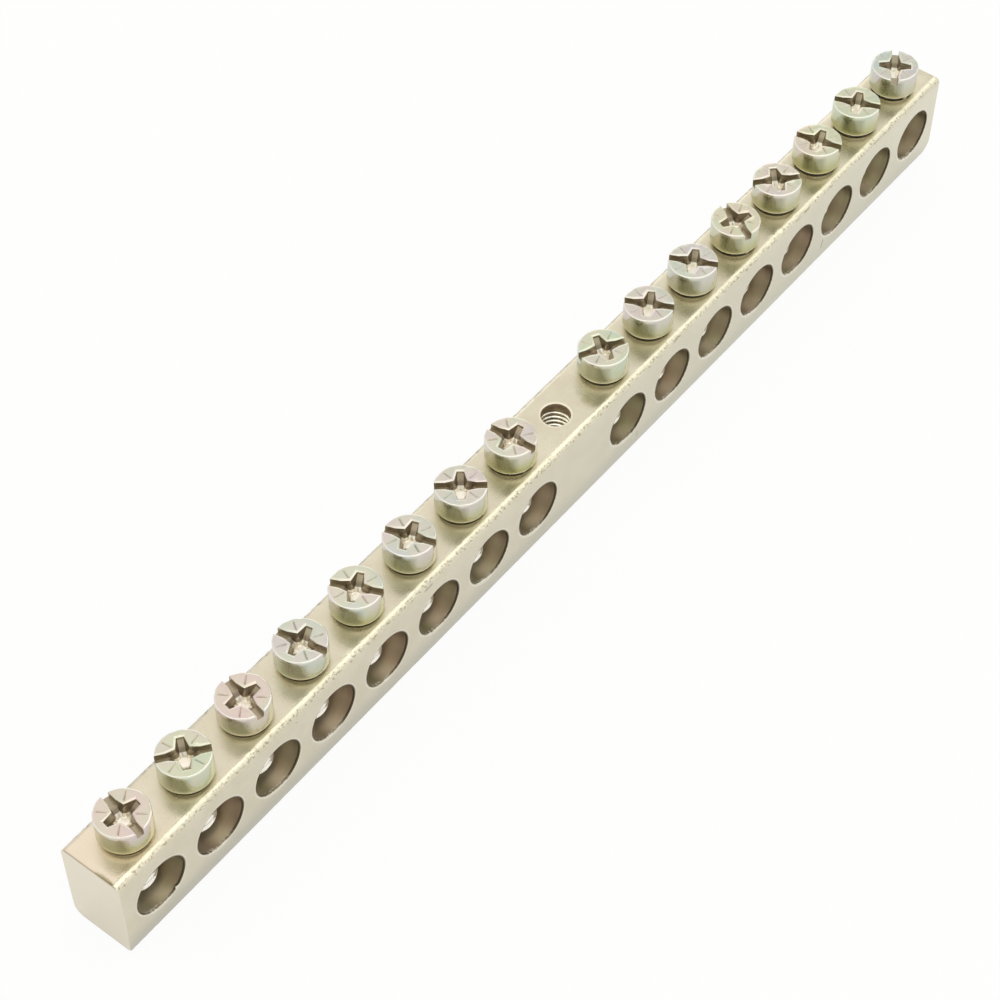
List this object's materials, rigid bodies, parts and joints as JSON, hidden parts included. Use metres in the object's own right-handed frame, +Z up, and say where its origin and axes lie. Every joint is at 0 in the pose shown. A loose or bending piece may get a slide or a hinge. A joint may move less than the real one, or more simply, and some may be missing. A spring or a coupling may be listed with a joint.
{
  "type": "brass terminal bus bar",
  "caption": "Brass bus bar: a drawn rectangular bar cross-drilled for wires, each clamped by a slotted cheese-head screw, with a tapped mounting hole in the middle.",
  "frame": {"origin": "middle of the bar's underside", "axes": "+X along the bar from its plainly cropped end to its rounded one, -Y out of the front face's wire holes, +Z up at the screws"},
  "size_m": [0.1114, 0.0058, 0.0117],
  "materials": {
    "brass": "satin, as drawn, bright on the worn edges",
    "plated_steel": "clear zinc plate, glossy sides, satin head"
  },
  "bodies": {
    "bar": {"bar": "brass"},
    "terminal_screw_01": {"terminal_screw_01": "plated_steel"},
    "terminal_screw_02": {"terminal_screw_02": "plated_steel"},
    "terminal_screw_03": {"terminal_screw_03": "plated_steel"},
    "terminal_screw_04": {"terminal_screw_04": "plated_steel"},
    "terminal_screw_05": {"terminal_screw_05": "plated_steel"},
    "terminal_screw_06": {"terminal_screw_06": "plated_steel"},
    "terminal_screw_07": {"terminal_screw_07": "plated_steel"},
    "terminal_screw_08": {"terminal_screw_08": "plated_steel"},
    "terminal_screw_09": {"terminal_screw_09": "plated_steel"},
    "terminal_screw_10": {"terminal_screw_10": "plated_steel"},
    "terminal_screw_11": {"terminal_screw_11": "plated_steel"},
    "terminal_screw_12": {"terminal_screw_12": "plated_steel"},
    "terminal_screw_13": {"terminal_screw_13": "plated_steel"},
    "terminal_screw_14": {"terminal_screw_14": "plated_steel"},
    "terminal_screw_15": {"terminal_screw_15": "plated_steel"},
    "terminal_screw_16": {"terminal_screw_16": "plated_steel"}
  },
  "joints": [
    {"name": "screw_01_feed", "type": "slide", "parent": "bar", "child": "terminal_screw_01", "axis": [0, 0, 1], "range_m": [-0.00035, 0.0042]},
    {"name": "screw_02_feed", "type": "slide", "parent": "bar", "child": "terminal_screw_02", "axis": [0, 0, 1], "range_m": [-0.00035, 0.0042]},
    {"name": "screw_03_feed", "type": "slide", "parent": "bar", "child": "terminal_screw_03", "axis": [0, 0, 1], "range_m": [-0.00035, 0.0042]},
    {"name": "screw_04_feed", "type": "slide", "parent": "bar", "child": "terminal_screw_04", "axis": [0, 0, 1], "range_m": [-0.00035, 0.0042]},
    {"name": "screw_05_feed", "type": "slide", "parent": "bar", "child": "terminal_screw_05", "axis": [0, 0, 1], "range_m": [-0.00035, 0.0042]},
    {"name": "screw_06_feed", "type": "slide", "parent": "bar", "child": "terminal_screw_06", "axis": [0, 0, 1], "range_m": [-0.00035, 0.0042]},
    {"name": "screw_07_feed", "type": "slide", "parent": "bar", "child": "terminal_screw_07", "axis": [0, 0, 1], "range_m": [-0.00035, 0.0042]},
    {"name": "screw_08_feed", "type": "slide", "parent": "bar", "child": "terminal_screw_08", "axis": [0, 0, 1], "range_m": [-0.00035, 0.0042]},
    {"name": "screw_09_feed", "type": "slide", "parent": "bar", "child": "terminal_screw_09", "axis": [0, 0, 1], "range_m": [-0.00035, 0.0042]},
    {"name": "screw_10_feed", "type": "slide", "parent": "bar", "child": "terminal_screw_10", "axis": [0, 0, 1], "range_m": [-0.00035, 0.0042]},
    {"name": "screw_11_feed", "type": "slide", "parent": "bar", "child": "terminal_screw_11", "axis": [0, 0, 1], "range_m": [-0.00035, 0.0042]},
    {"name": "screw_12_feed", "type": "slide", "parent": "bar", "child": "terminal_screw_12", "axis": [0, 0, 1], "range_m": [-0.00035, 0.0042]},
    {"name": "screw_13_feed", "type": "slide", "parent": "bar", "child": "terminal_screw_13", "axis": [0, 0, 1], "range_m": [-0.00035, 0.0042]},
    {"name": "screw_14_feed", "type": "slide", "parent": "bar", "child": "terminal_screw_14", "axis": [0, 0, 1], "range_m": [-0.00035, 0.0042]},
    {"name": "screw_15_feed", "type": "slide", "parent": "bar", "child": "terminal_screw_15", "axis": [0, 0, 1], "range_m": [-0.00035, 0.0042]},
    {"name": "screw_16_feed", "type": "slide", "parent": "bar", "child": "terminal_screw_16", "axis": [0, 0, 1], "range_m": [-0.00035, 0.0042]}
  ]
}
